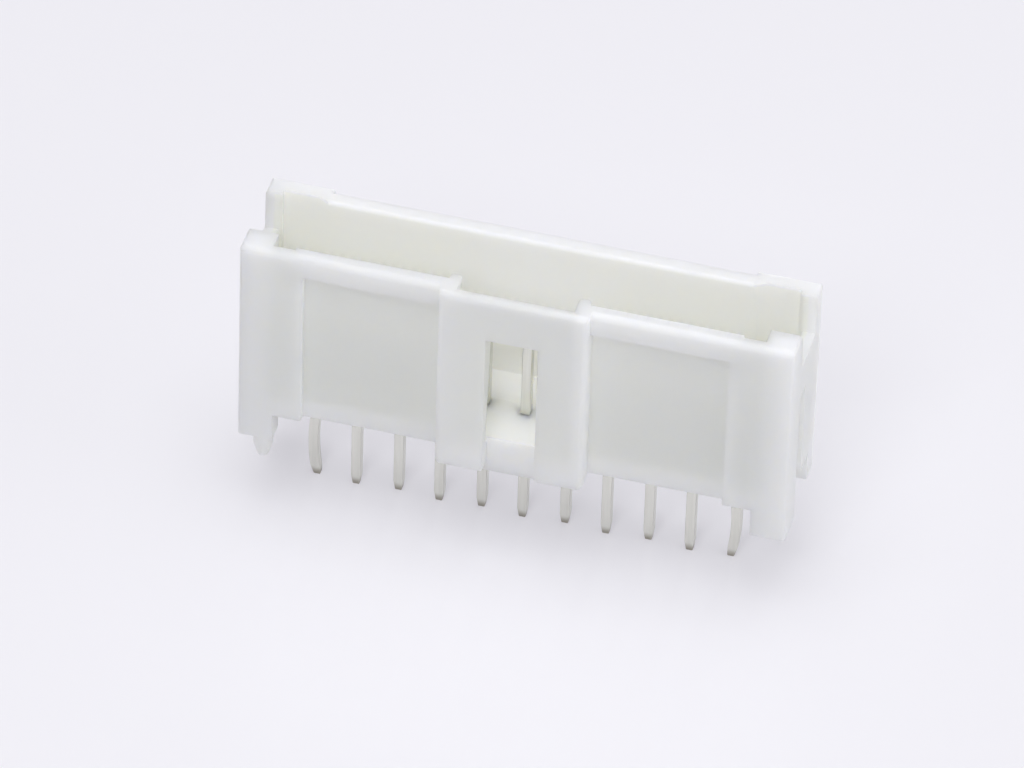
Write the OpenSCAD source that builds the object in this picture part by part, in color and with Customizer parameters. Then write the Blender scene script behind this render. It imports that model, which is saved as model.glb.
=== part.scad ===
// Shrouded single-row pin header: a moulded housing with a latch lug, and square pins in its floor.
// The pin row runs along X, the latch side faces -Y and the plug goes in from above.
// The origin lies on the board's surface, at the middle of the pin row.

/* [Pins] */
// Number of pins in the row
pin_count = 11; // [6:1:15]
// Distance between neighbouring pins
pitch = 2; // [1.8:0.05:2.5]
// Side of the square pin
pin_w = 0.46; // [0.4:0.02:0.64]
// Height of the pins' plug ends above the board
pin_top_z = 7; // [6:0.1:9.5]
// Length of the tails below the board's surface
tail_l = 3.95; // [3.6:0.05:6]
// Length of the tapered plug end
plug_tip_l = 0.8; // [0.3:0.05:1.2]
// Width left at the plug end's point
plug_tip_w = 0.22; // [0.1:0.02:0.36]
// Length of the tapered solder end
tail_tip_l = 0.55; // [0.2:0.05:0.8]
// Width left at the solder end's point
tail_tip_w = 0.32; // [0.1:0.02:0.36]
// Distance that odd pins stand behind the row's line and even pins ahead of it
row_stagger = 0.08; // [0:0.01:0.12]
// Clearance between a pin and its hole, where 0 is a line-to-line press fit
pin_fit = 0; // [0:0.01:0.05]

/* [Bowed tails] */
// Distance that the two end pins' tails bow outward
bow = 0.12; // [0.06:0.01:0.16]
// Distance from the housing's underside to the start of the bow
bow_gap = 0.9; // [0.8:0.05:1.4]
// Height over which the bow goes out and comes back to the pin's line
bow_span = 3.3; // [2.6:0.05:3.4]

/* [Housing] */
// Distance from the end pins to the ends of the housing
end_margin = 3; // [2.8:0.05:3.4]
// Depth of the housing over its corner pads
body_d = 5.3; // [5.1:0.05:6.5]
// Height of the rim above the board
body_h = 11.1; // [10.4:0.1:14]
// Distance from the pin row to the face of the front pads
row_to_front = 2.8; // [2.6:0.05:2.9]
// Height of the cavity floor above the board
floor_z = 2.35; // [2:0.05:2.8]
// Height of the underside between the pins above the board
base_z = 0.7; // [0.2:0.05:0.9]
// Thickness of the front wall
front_wall = 0.8; // [0.7:0.05:1.1]
// Thickness of the back wall at its corner pads
back_wall = 1.05; // [0.9:0.05:1.2]
// Thickness of the end walls
end_wall = 0.65; // [0.5:0.05:0.75]
// Radius of the upright outer corners
corner_r = 0.15; // [0.05:0.05:0.45]
// Radius of the rim's outer edge along the front
front_rim_r = 0.35; // [0.05:0.05:0.4]
// Radius of the rim's outer edge along the back
back_rim_r = 0.15; // [0.05:0.05:0.35]
// Radius of the rim's outer edges at the ends
end_rim_r = 0.2; // [0.05:0.05:0.35]
// Radius of the rim's inner edges along the front and back walls
inner_rim_r = 0.2; // [0.05:0.05:0.25]
// Height of the slope along the back wall's foot
foot_slope_h = 0.8; // [0.4:0.05:1.2]
// Depth of the slope along the back wall's foot
foot_slope_d = 1.05; // [0.6:0.05:1.1]

/* [Front and back faces] */
// Width of the corner pads
pad_w = 3; // [2.6:0.05:3.3]
// Depth of the recessed front panels
panel_depth = 0.4; // [0.2:0.05:0.5]
// Height of the band that is left above the front panels
band_h = 1.15; // [0.8:0.05:1.6]
// Depth of the recess between the pads of the back wall
back_recess = 0.35; // [0.1:0.05:0.5]
// Height of the front wall's lower edge above the board
skirt_z = 1.45; // [1.2:0.05:1.8]
// Distance from the front pads' face back to the thick part of the base
skirt_d = 1.35; // [1.1:0.05:1.6]

/* [Latch lug] */
// Width of the latch lug
lug_w = 7.05; // [6.6:0.05:7.4]
// Distance that the lug stands out from the pads' face
lug_proud = 0.45; // [0.3:0.05:0.55]
// Height of the lug's lower edge above the board
lug_z = 1; // [0.9:0.05:1.3]
// Radius of the lug's lower corners
lug_corner_r = 0.3; // [0.2:0.05:0.6]
// Radius of the lug's upright edges
lug_edge_r = 0.3; // [0.1:0.05:0.4]
// Thickness of the lug's wall in front of the latch pocket
lug_wall = 0.45; // [0.4:0.05:0.6]
// Width of the latch pocket
pocket_w = 5.5; // [5:0.1:5.7]
// Width of the guide ribs beside the pocket
rib_w = 0.55; // [0.4:0.05:0.8]
// Distance that the guide ribs stand out into the cavity
rib_proud = 0.22; // [0.1:0.02:0.3]
// Radius of the guide ribs' upright edges
rib_r = 0.2; // [0.05:0.05:0.2]
// Height of the window's upper edge above the board
window_z = 8.8; // [7.5:0.1:9.4]
// Width of the window at its upper edge, on the pocket's side
window_top_w = 2.2; // [1.6:0.05:2.4]
// Width of the window on the lug's face
window_w = 2.5; // [2.3:0.05:3]
// Depth of the window's cut from the lug's face
window_depth = 0.85; // [0.7:0.05:1.1]
// Height of the underside behind the window above the board
lug_base_z = 0.4; // [0.2:0.05:0.9]
// Width of the thick base behind the window
lug_base_w = 5.6; // [4.5:0.1:6]

/* [Ends] */
// Width of the front posts
front_post_w = 1.45; // [1.2:0.05:1.6]
// Depth of the front posts at the rim
front_post_d = 1.4; // [1.2:0.05:1.5]
// Width of the back posts
back_post_w = 0.8; // [0.7:0.05:1]
// Width of the relief grooves beside the front posts
front_groove_w = 1.05; // [0.6:0.05:1.2]
// Width of the relief grooves beside the back posts
back_groove_w = 2.15; // [1:0.05:2.5]
// Depth of the relief grooves
groove_depth = 0.28; // [0.1:0.02:0.34]
// Length over which the back relief grooves run out
groove_runout = 0.5; // [0.2:0.05:0.8]
// Depth of the notch over each end wall, from the rim down
notch_h = 2.1; // [1.2:0.1:2.6]
// Distance by which the notch narrows towards the front post
notch_taper = 0.35; // [0.1:0.05:0.4]
// Distance by which the notch narrows towards the back post
notch_back_taper = 0.05; // [0.05:0.05:0.2]
// Depth of the groove behind the front post in each end face
end_groove = 0.26; // [0.1:0.02:0.3]
// Width of the end groove
end_groove_w = 0.95; // [0.6:0.05:1.1]
// Height of the end groove's upper end above the board
end_groove_z = 7.2; // [5:0.1:8]
// Height of the end walls' lower edge above the board
end_skirt_z = 2; // [1.5:0.05:2]
// Depth of the back corner columns
back_column_d = 1.25; // [1.15:0.05:1.35]
// Height of the back corner columns' lower ends above the board
back_column_z = 0.4; // [0.2:0.05:0.7]

/* [Feet and peg] */
// Width of each foot along the row
foot_w = 1.65; // [1.3:0.05:1.9]
// Depth of the front feet under the front wall
foot_d = 1; // [0.95:0.05:1.2]
// Distance of the back feet from the ends
back_foot_inset = 0.9; // [0.8:0.05:1.2]
// Diameter of the locating peg
peg_d = 0.95; // [0.6:0.05:1]
// Length of the locating peg
peg_l = 1.4; // [1:0.05:2]
// Length of the peg's straight part below the foot
peg_straight_l = 0.55; // [0.3:0.05:0.6]
// Radius of the peg's rounded end
peg_end_r = 0.3; // [0.2:0.02:0.34]
// Distance of the peg's axis from the left end
peg_end_gap = 1.1; // [0.8:0.02:1.14]

/* [Hidden] */
$fn = 64;
over = 1;
bow_steps = 24;

body_l = (pin_count - 1) * pitch + 2 * end_margin;
end_x = body_l / 2;
front_y = -row_to_front;
back_y = front_y + body_d;
front_in_y = front_y + front_wall;
back_in_y = back_y - back_wall;
cavity_x = end_x - end_wall;
lug_y = front_y - lug_proud;
pocket_y = lug_y + lug_wall;
window_back_y = lug_y + window_depth;
band_z = body_h - band_h;
notch_z = body_h - notch_h;
pad_x = end_x - pad_w;
peg_x = -end_x + peg_end_gap;
peg_y = front_y + foot_d / 2;
end_front_y = front_y + front_post_d + notch_taper;
bow_z = base_z - bow_gap;

function pin_x(i) = (i - (pin_count + 1) / 2) * pitch;
function pin_y(i) = i % 2 == 1 ? row_stagger : -row_stagger;
function pin_name(i) = str("contact_", i < 10 ? "0" : "", i);
// Outward side of an end pin's bow, and 0 for the straight pins between
function bow_side(i) = i == 1 ? -1 : i == pin_count ? 1 : 0;
// Sideways shift of a bowed tail at height z: an arc that crosses the pin's line again after the bow's span
function bow_shift(z) = 4 * bow * (bow_z - z) / bow_span * (1 - (bow_z - z) / bow_span);
bow_heights = [for (k = [0 : bow_steps]) bow_z - (bow_z + tail_l - tail_tip_l) * k / bow_steps];

// Box between two opposite corners
module box(low, high) {
    translate(low) cube(high - low);
}

// Flat outline drawn as x and z, standing upright between two depths
module upright(y_low, y_high) {
    translate([0, y_high, 0]) rotate([90, 0, 0]) linear_extrude(y_high - y_low) children();
}

// Flat outline drawn as y and z, carried along the row between two places
module along_row(x_low, x_high) {
    translate([x_low, 0, 0]) rotate([90, 0, 90]) linear_extrude(x_high - x_low) children();
}

module both_ends() {
    children();
    mirror([1, 0, 0]) children();
}

// Rectangle with rounded corners, made of bars and discs
module rounded_outline(low, high, r) {
    translate(low + [r, 0]) square(high - low - [2 * r, 0]);
    translate(low + [0, r]) square(high - low - [0, 2 * r]);
    for (x = [low[0] + r, high[0] - r]) for (y = [low[1] + r, high[1] - r]) translate([x, y]) circle(r);
}

// Sliver that rounds an outer corner at the origin, with the solid towards +x and -y
module corner_sliver(r) {
    difference() {
        translate([-over, -r]) square([over + r, r + over]);
        translate([r, -r]) circle(r);
    }
}

// Housing in plan, over its corner pads
module body_outline() {
    rounded_outline([-end_x, front_y], [end_x, back_y], corner_r);
}

// Relief groove beside a back post in plan: it runs out towards the middle
module back_groove_outline() {
    outer = end_x - back_post_w;
    inner = outer - back_groove_w;
    polygon([
        [inner, back_in_y],
        [inner, front_in_y],
        [outer, front_in_y],
        [outer, back_in_y + groove_depth],
        [inner + groove_runout, back_in_y + groove_depth],
    ]);
}

// Plug cavity in plan: the main well, the latch pocket, and the relief grooves beside the posts
module cavity_outline() {
    difference() {
        union() {
            translate([-cavity_x, front_in_y]) square([2 * cavity_x, back_in_y - front_in_y]);
            translate([-pocket_w / 2, pocket_y]) square([pocket_w, back_in_y - pocket_y]);
            both_ends() translate([end_x - front_post_w - front_groove_w, front_in_y - groove_depth])
                square([front_groove_w, back_in_y - front_in_y]);
            both_ends() back_groove_outline();
        }
        both_ends() translate([end_x - front_post_w, front_y]) square([front_post_w, front_post_d]);
        both_ends()
            rounded_outline([pocket_w / 2, front_y], [pocket_w / 2 + rib_w, front_in_y + rib_proud], rib_r);
    }
}

// Plug cavity, with the slope left along the back wall's foot
module plug_cavity() {
    difference() {
        translate([0, 0, floor_z]) linear_extrude(body_h) cavity_outline();
        along_row(-end_x, end_x)
            polygon([
                [back_in_y - foot_slope_d, floor_z],
                [back_in_y - foot_slope_d, 0],
                [back_y, 0],
                [back_y, floor_z + foot_slope_h],
                [back_in_y, floor_z + foot_slope_h],
            ]);
    }
}

// Notch over an end wall, narrower at its foot than at the rim
module end_notch() {
    front_edge = front_y + front_post_d;
    along_row(cavity_x - front_post_w, end_x + over)
        polygon([
            [end_front_y, notch_z],
            [back_in_y - notch_back_taper, notch_z],
            [back_in_y, body_h],
            [back_in_y, body_h + over],
            [front_edge, body_h + over],
            [front_edge, body_h],
        ]);
}

// Shallow groove behind the front post in an end face, with the open gap below the end wall
module end_relief() {
    box([end_x - end_groove, end_front_y, -over], [end_x + over, end_front_y + end_groove_w, end_groove_z]);
    box([cavity_x, end_front_y, -over], [end_x + over, back_y - back_column_d, end_skirt_z]);
}

// Window through the lug, open at the lug's lower edge: it narrows upwards and flares towards the lug's face
module latch_window() {
    upright(lug_y - over, window_back_y)
        polygon([
            [-window_w / 2, 0],
            [window_w / 2, 0],
            [window_w / 2, lug_z],
            [window_top_w / 2, window_z],
            [-window_top_w / 2, window_z],
            [-window_w / 2, lug_z],
        ]);
    linear_extrude(window_z)
        polygon([
            [-window_w / 2, lug_y - over],
            [window_w / 2, lug_y - over],
            [window_w / 2, lug_y],
            [window_top_w / 2, pocket_y],
            [-window_top_w / 2, pocket_y],
            [-window_w / 2, lug_y],
        ]);
}

// Latch lug: rounded in plan, and at its lower corners as seen from the front
module latch_lug() {
    intersection() {
        linear_extrude(body_h)
            rounded_outline([-lug_w / 2, lug_y], [lug_w / 2, front_in_y], lug_edge_r);
        upright(lug_y - over, front_y + skirt_d)
            rounded_outline([-lug_w / 2, lug_z], [lug_w / 2, body_h + over], lug_corner_r);
    }
}

// Walls and floor before the cavity is cut: the upper block, the thick base under it, and the lug
module housing_block() {
    translate([0, 0, skirt_z]) linear_extrude(body_h - skirt_z)
        body_outline();
    translate([0, 0, base_z]) linear_extrude(floor_z - base_z)
        intersection() {
            body_outline();
            translate([-end_x, front_y + skirt_d]) square([body_l, body_d]);
        }
    box([-lug_base_w / 2, window_back_y, lug_base_z], [lug_base_w / 2, front_y + skirt_d, floor_z]);
    latch_lug();
    translate([0, 0, back_column_z]) linear_extrude(floor_z - back_column_z)
        intersection() {
            body_outline();
            both_ends() translate([cavity_x, back_y - back_column_d]) square([end_wall, back_column_d]);
        }
}

// Corner foot under the front and end walls
module front_foot() {
    linear_extrude(skirt_z + over)
        intersection() {
            body_outline();
            union() {
                translate([end_x - foot_w, front_y]) square([foot_w, foot_d]);
                translate([cavity_x, front_y]) square([end_wall, end_front_y - front_y]);
            }
        }
}

// Foot under the back wall
module back_foot() {
    outer_x = end_x - back_foot_inset;
    box([outer_x - foot_w, back_in_y, 0], [outer_x, back_y, floor_z]);
}

// Round peg: a straight part, a taper, and a ball end that the taper meets without a crease
module locating_peg() {
    ball_z = peg_end_r - peg_l;
    reach = [peg_d / 2, -peg_straight_l - ball_z];
    meet = atan2(reach[1], reach[0]) - acos(peg_end_r / norm(reach));
    translate([peg_x, peg_y, 0]) rotate_extrude() {
        polygon([
            [0, skirt_z],
            [peg_d / 2, skirt_z],
            [peg_d / 2, -peg_straight_l],
            [peg_end_r * cos(meet), ball_z + peg_end_r * sin(meet)],
            [0, ball_z + peg_end_r * sin(meet)],
        ]);
        intersection() {
            translate([0, ball_z]) circle(peg_end_r);
            translate([0, -peg_l]) square([peg_d / 2, peg_l]);
        }
    }
}

// Recesses in the front and back faces
module face_recesses() {
    both_ends() box([lug_w / 2, front_y - over, -over], [pad_x, front_y + panel_depth, band_z]);
    box([-pad_x, back_y - back_recess, -over], [pad_x, back_y + over, body_h + over]);
}

// Rounded outer edges of the rim, and the inner edges of the front and back walls between their grooves
module rim_rounding() {
    front_groove_x = end_x - front_post_w - front_groove_w;
    back_groove_x = end_x - back_post_w - back_groove_w;
    both_ends() along_row(pocket_w / 2 + rib_w, front_groove_x)
        translate([front_in_y, body_h]) mirror([1, 0]) corner_sliver(inner_rim_r);
    along_row(-back_groove_x, back_groove_x) translate([back_in_y, body_h]) corner_sliver(inner_rim_r);
    both_ends() along_row(lug_w / 2, end_x + over) translate([front_y, body_h]) corner_sliver(front_rim_r);
    along_row(-lug_w / 2 - over, lug_w / 2 + over) translate([lug_y, body_h]) corner_sliver(front_rim_r);
    both_ends() along_row(pad_x, end_x + over)
        translate([back_y, body_h]) mirror([1, 0]) corner_sliver(back_rim_r);
    both_ends() upright(front_y - over, back_y + over)
        translate([end_x, body_h]) mirror([1, 0]) corner_sliver(end_rim_r);
}

// Square hole for a pin, through the base
module pin_hole(i) {
    half = pin_w / 2 + pin_fit;
    translate([pin_x(i), pin_y(i), 0]) box([-half, -half, -over], [half, half, floor_z + over]);
}

module housing() {
    color("white") difference() {
        union() {
            housing_block();
            both_ends() front_foot();
            both_ends() back_foot();
            locating_peg();
        }
        plug_cavity();
        face_recesses();
        both_ends() end_notch();
        both_ends() end_relief();
        latch_window();
        rim_rounding();
        for (i = [1 : pin_count]) pin_hole(i);
    }
}

// Side outline of a straight pin, tapered at both ends
module straight_outline() {
    polygon([
        [-pin_w / 2, tail_tip_l - tail_l],
        [-tail_tip_w / 2, -tail_l],
        [tail_tip_w / 2, -tail_l],
        [pin_w / 2, tail_tip_l - tail_l],
        [pin_w / 2, pin_top_z - plug_tip_l],
        [plug_tip_w / 2, pin_top_z],
        [-plug_tip_w / 2, pin_top_z],
        [-pin_w / 2, pin_top_z - plug_tip_l],
    ]);
}

// Side outline of an end pin: the same pin with its tail bowed to one side
module bowed_outline(side) {
    tip_x = side * bow_shift(-tail_l);
    tail_end = [[tip_x - tail_tip_w / 2, -tail_l], [tip_x + tail_tip_w / 2, -tail_l]];
    plug_end = [
        [pin_w / 2, pin_top_z - plug_tip_l],
        [plug_tip_w / 2, pin_top_z],
        [-plug_tip_w / 2, pin_top_z],
        [-pin_w / 2, pin_top_z - plug_tip_l],
    ];
    bow_line = [for (z = bow_heights) [side * bow_shift(z), z]];
    near_edge = [for (point = bow_line) point - [pin_w / 2, 0]];
    far_edge = [for (k = [bow_steps : -1 : 0]) bow_line[k] + [pin_w / 2, 0]];
    polygon(concat(near_edge, tail_end, far_edge, plug_end));
}

module contact(i) {
    color("silver") translate([pin_x(i), pin_y(i), 0]) intersection() {
        upright(-pin_w, pin_w)
            if (bow_side(i) == 0) straight_outline();
            else bowed_outline(bow_side(i));
        along_row(-pin_w - over, pin_w + over) straight_outline();
    }
}

housing();
for (i = [1 : pin_count])
    contact(i);
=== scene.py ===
import math
import bpy
import numpy as np
from mathutils import Matrix, Vector


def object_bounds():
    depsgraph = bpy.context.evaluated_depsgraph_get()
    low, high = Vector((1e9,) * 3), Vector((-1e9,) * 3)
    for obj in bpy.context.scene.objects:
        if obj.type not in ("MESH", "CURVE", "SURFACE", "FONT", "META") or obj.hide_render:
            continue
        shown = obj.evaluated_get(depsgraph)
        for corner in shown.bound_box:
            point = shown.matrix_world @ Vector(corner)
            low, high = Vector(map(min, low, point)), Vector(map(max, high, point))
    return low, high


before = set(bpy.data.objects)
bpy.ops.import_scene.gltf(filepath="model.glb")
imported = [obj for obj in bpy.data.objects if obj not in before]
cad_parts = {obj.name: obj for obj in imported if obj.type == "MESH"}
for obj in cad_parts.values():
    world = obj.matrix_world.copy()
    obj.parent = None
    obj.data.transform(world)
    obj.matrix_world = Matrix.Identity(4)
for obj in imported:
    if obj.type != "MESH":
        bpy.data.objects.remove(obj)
solid_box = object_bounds()


# Housing
# One injection moulding in natural white nylon, satin from the mould, with every edge softened by the tool.
# It carries the pins in its floor and stands on the board on its corner feet.
def soften_edges(node, arc, steps, least_angle):
    """Closes a node's loose triangles, joins them to flat faces, and turns each edge sharper than
    least_angle degrees into an arc of that width in that many steps."""
    seam_gap = 2e-6
    flat_angle = 0.5
    seams = node.modifiers.new("close_seams", "WELD")
    seams.merge_threshold = seam_gap
    flats = node.modifiers.new("join_flats", "DECIMATE")
    flats.decimate_type = "DISSOLVE"
    flats.angle_limit = math.radians(flat_angle)
    edges = node.modifiers.new("edge_arcs", "BEVEL")
    edges.width = arc
    edges.segments = steps
    edges.limit_method = "ANGLE"
    edges.angle_limit = math.radians(least_angle)
    edges.miter_outer = "MITER_ARC"
    shade = node.modifiers.new("face_normals", "WEIGHTED_NORMAL")
    shade.weight = 100


def dress(node, material):
    """Gives a node that material in place of any that it came with."""
    node.data.materials.clear()
    node.data.materials.append(material)


def feed(tree, node, inputs):
    """Gives each input of a shader node its value, or a link where that value is another node's output."""
    for socket, source in inputs.items():
        if isinstance(source, bpy.types.NodeSocket):
            tree.links.new(source, node.inputs[socket])
        else:
            node.inputs[socket].default_value = source


def add_node(tree, kind, inputs, **settings):
    """A new shader node of that kind, with its settings made first and its inputs fed after them."""
    node = tree.nodes.new(kind)
    for setting, choice in settings.items():
        setattr(node, setting, choice)
    feed(tree, node, inputs)
    return node


def worked_out(tree, operation, *terms):
    """The result of one sum on the shader's values, such as a product or the larger of two."""
    return add_node(tree, "ShaderNodeMath", dict(enumerate(terms)), operation=operation).outputs[0]


def grain_group():
    """Shader group: two sizes of soft noise on the piece's own coordinates, the coarse one put out as a mask
    around one half for colour and gloss, and the fine one as a height for bumps."""
    group = bpy.data.node_groups.new("surface_grain", "ShaderNodeTree")
    for socket, kind in (("Coarse Scale", "Float"), ("Fine Scale", "Float"), ("Stretch", "Vector")):
        group.interface.new_socket(socket, in_out="INPUT", socket_type="NodeSocket" + kind)
    for socket in ("Mask", "Height"):
        group.interface.new_socket(socket, in_out="OUTPUT", socket_type="NodeSocketFloat")
    given = group.nodes.new("NodeGroupInput").outputs
    place = group.nodes.new("ShaderNodeTexCoord").outputs["Object"]
    drawn_out = add_node(group, "ShaderNodeVectorMath", {0: place, 1: given["Stretch"]}, operation="MULTIPLY")
    layers = {}
    for layer, scale, detail in (("Mask", "Coarse Scale", 2.0), ("Height", "Fine Scale", 4.0)):
        noise = add_node(group, "ShaderNodeTexNoise", {
            "Vector": drawn_out.outputs[0],
            "Scale": given[scale],
            "Detail": detail,
            "Roughness": 0.55,
        })
        layers[layer] = noise.outputs["Fac"]
    add_node(group, "NodeGroupOutput", layers)
    return group


def grained_finish(name, coarse, fine, stretch, roughness, bump, depth):
    """A new material whose gloss and fine bump follow the surface grain, and the mask of that grain."""
    material = bpy.data.materials.new(name)
    material.use_nodes = True
    tree = material.node_tree
    scales = {"Coarse Scale": coarse, "Fine Scale": fine, "Stretch": stretch}
    grain = add_node(tree, "ShaderNodeGroup", scales, node_tree=surface_grain).outputs
    gloss_range = {"Value": grain["Mask"], "To Min": roughness[0], "To Max": roughness[1]}
    gloss = add_node(tree, "ShaderNodeMapRange", gloss_range)
    relief = add_node(tree, "ShaderNodeBump", {"Height": grain["Height"], "Strength": bump, "Distance": depth})
    finish = {"Roughness": gloss.outputs["Result"], "Normal": relief.outputs["Normal"]}
    feed(tree, tree.nodes["Principled BSDF"], finish)
    return material, grain["Mask"]


def tinted(tree, mask, first, second):
    """A colour that goes from the first, where the mask is 0, to the second, where it is 1."""
    mix = add_node(tree, "ShaderNodeMix", {"Factor": mask, "A": first, "B": second}, data_type="RGBA")
    return mix.outputs["Result"]


def across_edge(tree, value, outside, inside):
    """Smooth step of a value, from 0 at the outside level to 1 at the inside one."""
    step = add_node(tree, "ShaderNodeMapRange", {
        "Value": value,
        "From Min": min(outside, inside),
        "From Max": max(outside, inside),
        "To Min": float(outside > inside),
        "To Max": float(outside < inside),
    }, interpolation_type="SMOOTHSTEP")
    return step.outputs["Result"]


def own_place(tree):
    """The piece's own x, y and z, as three values."""
    place = tree.nodes.new("ShaderNodeTexCoord").outputs["Object"]
    return add_node(tree, "ShaderNodeSeparateXYZ", {"Vector": place}).outputs


def painted_glow_mask(tree):
    """1 on the walls and floor of the plug cavity and 0 on the outer faces and the rim. It marks where painted
    light is laid: a brighter, yellower white stands in for light bounced inside the cavity and come through
    its thin walls. It is the product of a smooth step across each wall, from the piece's own x, y and z."""
    place = own_place(tree)
    end_walls = across_edge(tree, worked_out(tree, "ABSOLUTE", place["X"]), 0.0127, 0.0125)
    front_wall = across_edge(tree, place["Y"], -0.00238, -0.0023)
    back_wall = across_edge(tree, place["Y"], 0.0020, 0.0018)
    cavity_floor = across_edge(tree, place["Z"], 0.0016, 0.0019)
    rim = across_edge(tree, place["Z"], 0.0111, 0.0109)
    mask = end_walls
    for edge in (front_wall, back_wall, cavity_floor, rim):
        mask = worked_out(tree, "MULTIPLY", mask, edge)
    return mask


surface_grain = grain_group()
white_nylon, cloudiness = grained_finish(
    "white_nylon", coarse=350.0, fine=9000.0, stretch=(1.0, 1.0, 1.0), roughness=(0.40, 0.52), bump=0.15,
    depth=0.00002)
nylon_tree = white_nylon.node_tree
outer_white = tinted(nylon_tree, cloudiness, (0.982, 0.982, 0.968, 1), (0.990, 0.990, 0.976, 1))
# Painted light: the cavity walls and floor get a brighter, yellower white than the outer faces, standing in
# for light bounced inside the cavity and come through its thin walls.
cavity_painted_glow = (0.985, 0.994, 0.885, 1)
feed(nylon_tree, nylon_tree.nodes["Principled BSDF"], {
    "Base Color": tinted(nylon_tree, painted_glow_mask(nylon_tree), outer_white, cavity_painted_glow),
    "IOR": 1.53,
    "Subsurface Weight": 1.0,
    "Subsurface Radius": (1.0, 0.95, 0.8),
    "Subsurface Scale": 0.0027,
})
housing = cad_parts["housing"]
soften_edges(housing, arc=0.00009, steps=3, least_angle=40)
dress(housing, white_nylon)


# Pins
# Square brass wire with bright tin plating, cut to points and pressed through the housing's floor.
# Drawing leaves fine streaks along each pin, and the lowest half millimetre of each solder tail, down at the
# table, is coloured darker and browner.
tin_plate, streaks = grained_finish(
    "tin_plate", coarse=5000.0, fine=16000.0, stretch=(1.0, 1.0, 0.06), roughness=(0.24, 0.42), bump=0.12,
    depth=0.00001)
tin_tree = tin_plate.node_tree
streaked_tin = tinted(tin_tree, streaks, (0.66, 0.66, 0.60, 1), (0.82, 0.82, 0.77, 1))
# The lowest half millimetre of each tail, down at the table, is coloured darker and browner.
dark_tail_tip = (0.36, 0.34, 0.28, 1)
above_dark_tip = across_edge(tin_tree, own_place(tin_tree)["Z"], -0.00395, -0.0034)
feed(tin_tree, tin_tree.nodes["Principled BSDF"], {
    "Base Color": tinted(tin_tree, above_dark_tip, dark_tail_tip, streaked_tin),
    "Metallic": 1.0,
})
for name, node in sorted(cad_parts.items()):
    if name.startswith("contact_"):
        soften_edges(node, arc=0.00004, steps=2, least_angle=25)
        dress(node, tin_plate)


# Table
# A pale sheet with a slight gloss, on which the header stands on the points of its tails.
# Where it is seen, straight or in a reflection, a part of it glows as a lit backdrop does, and shadows stay.
def table_mesh(half, height):
    """A flat square grid: x and y run from minus half to half, and z is the given height."""
    per_side = 3
    edge = np.linspace(-half, half, per_side)
    x, y = np.meshgrid(edge, edge)
    points = np.stack([x.ravel(), y.ravel(), np.full(x.size, height)], axis=1)
    cell = np.arange(per_side - 1)
    corner = (cell[:, None] * per_side + cell[None, :]).ravel()
    faces = np.stack([corner, corner + 1, corner + per_side + 1, corner + per_side], axis=1)
    mesh = bpy.data.meshes.new("table_top")
    mesh.from_pydata(points.tolist(), [], faces.tolist())
    return mesh


table = bpy.data.objects.new("table_top", table_mesh(half=2.0, height=float(solid_box[0].z)))
bpy.context.scene.collection.objects.link(table)
pale_sheet = bpy.data.materials.new("pale_sheet")
pale_sheet.use_nodes = True
sheet_tree = pale_sheet.node_tree
sheet_shader = sheet_tree.nodes["Principled BSDF"]
feed(sheet_tree, sheet_shader, {
    "Base Color": (0.66, 0.66, 0.675, 1),
    "Roughness": 0.3,
    "Specular IOR Level": 0.25,
})
glow_share = 0.22
glow = add_node(sheet_tree, "ShaderNodeEmission", {"Color": (1.55, 1.51, 1.65, 1)})
ray_kind = sheet_tree.nodes.new("ShaderNodeLightPath").outputs
in_sight = worked_out(sheet_tree, "MAXIMUM", ray_kind["Is Camera Ray"], ray_kind["Is Glossy Ray"])
in_sight = worked_out(sheet_tree, "MAXIMUM", in_sight, ray_kind["Is Transmission Ray"])
blend = add_node(sheet_tree, "ShaderNodeMixShader", {
    "Fac": worked_out(sheet_tree, "MULTIPLY", in_sight, glow_share),
    1: sheet_shader.outputs["BSDF"],
    2: glow.outputs["Emission"],
})
feed(sheet_tree, sheet_tree.nodes["Material Output"], {"Surface": blend.outputs["Shader"]})
table.data.materials.append(pale_sheet)


# Light and camera
# A light tent that glows most on its right, soft boxes overhead and in front, and low ones behind and beside.
# The camera looks down at the latch side from the right, with a long lens.
lamp_white = (1.0, 1.0, 1.02)
light_tent = bpy.data.worlds.new("light_tent")
bpy.context.scene.world = light_tent
light_tent.use_nodes = True
tent_tree = light_tent.node_tree
ray = tent_tree.nodes.new("ShaderNodeTexCoord").outputs["Generated"]
tent_glow = 0.0
for wall, strength in (((1, 0, 0), 0.36), ((-1, 0, 0), 0.10), ((0, 0, 1), 0.24)):
    facing = add_node(tent_tree, "ShaderNodeVectorMath", {0: ray, 1: wall}, operation="DOT_PRODUCT")
    lit = worked_out(tent_tree, "MAXIMUM", facing.outputs["Value"], 0.0)
    tent_glow = worked_out(tent_tree, "MULTIPLY_ADD", lit, strength, tent_glow)
feed(tent_tree, tent_tree.nodes["Background"], {"Color": (*lamp_white, 1), "Strength": tent_glow})


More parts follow.
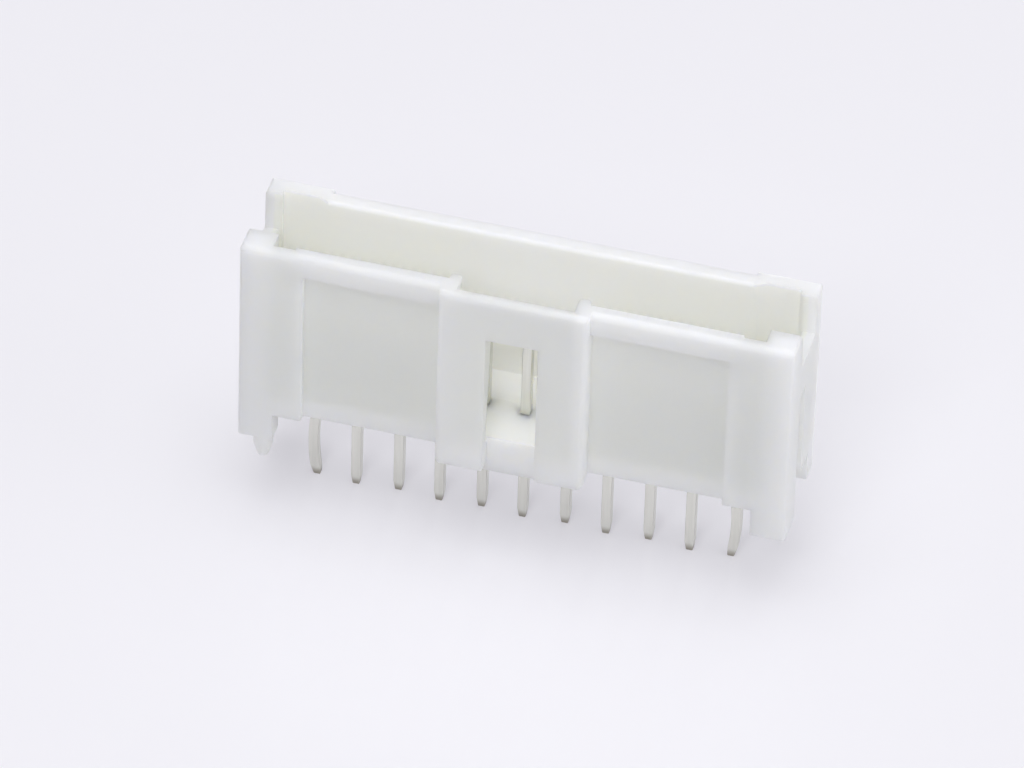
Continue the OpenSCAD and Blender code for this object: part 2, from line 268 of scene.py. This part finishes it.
def soft_panel(name, spot, width, watts):
    """A round diffuser of that width at that spot, turned to the header, and not seen by the camera itself."""
    lamp = bpy.data.lights.new(name, "AREA")
    lamp.shape = "DISK"
    lamp.size = width
    lamp.energy = watts
    lamp.color = lamp_white
    panel = bpy.data.objects.new(name, lamp)
    panel.location = spot
    header_middle = Vector((0, 0, 0.004))
    panel.rotation_euler = (header_middle - panel.location).to_track_quat("-Z", "Y").to_euler()
    panel.visible_camera = False
    bpy.context.scene.collection.objects.link(panel)


soft_panel("roof_front_panel", (0.0, -0.08, 0.50), width=0.44, watts=1.20)
soft_panel("roof_back_panel", (0.0, 0.16, 0.50), width=0.44, watts=0.43)
soft_panel("front_panel", (-0.02, -0.36, 0.36), width=0.20, watts=0.74)
soft_panel("back_panel", (0.0, 0.40, 0.024), width=0.08, watts=0.54)
soft_panel("right_panel", (0.44, -0.04, 0.07), width=0.32, watts=0.62)
soft_panel("left_panel", (-0.44, -0.04, 0.07), width=0.32, watts=0.17)

turn = math.radians(14.0631)
rise = math.radians(40.211)
roll = math.radians(1.9549)
shift_right = 0.00013
shift_up = 0.0047374
distance = 0.4584177
back = Vector((math.sin(turn) * math.cos(rise), -math.cos(turn) * math.cos(rise), math.sin(rise)))
level = Vector((math.cos(turn), math.sin(turn), 0))
plumb = back.cross(level)
right = math.cos(roll) * level + math.sin(roll) * plumb
up = -math.sin(roll) * level + math.cos(roll) * plumb
latch_foot = Vector((0, -0.00284, 0))
aim = latch_foot + right * shift_right + up * shift_up
focal_pixels = 10000
picture_width = 1024
photo_camera = bpy.data.cameras.new("photo_camera")
photo_camera.sensor_width = 36
photo_camera.lens = focal_pixels / picture_width * photo_camera.sensor_width
photo_camera.clip_start = 0.01
photo_camera.clip_end = 20
viewpoint = bpy.data.objects.new("photo_camera", photo_camera)
stand = Matrix((right, up, back)).transposed().to_4x4()
stand.translation = aim + back * distance
viewpoint.matrix_world = stand
bpy.context.scene.collection.objects.link(viewpoint)
bpy.context.scene.camera = viewpoint
bpy.context.scene.view_settings.view_transform = "Standard"
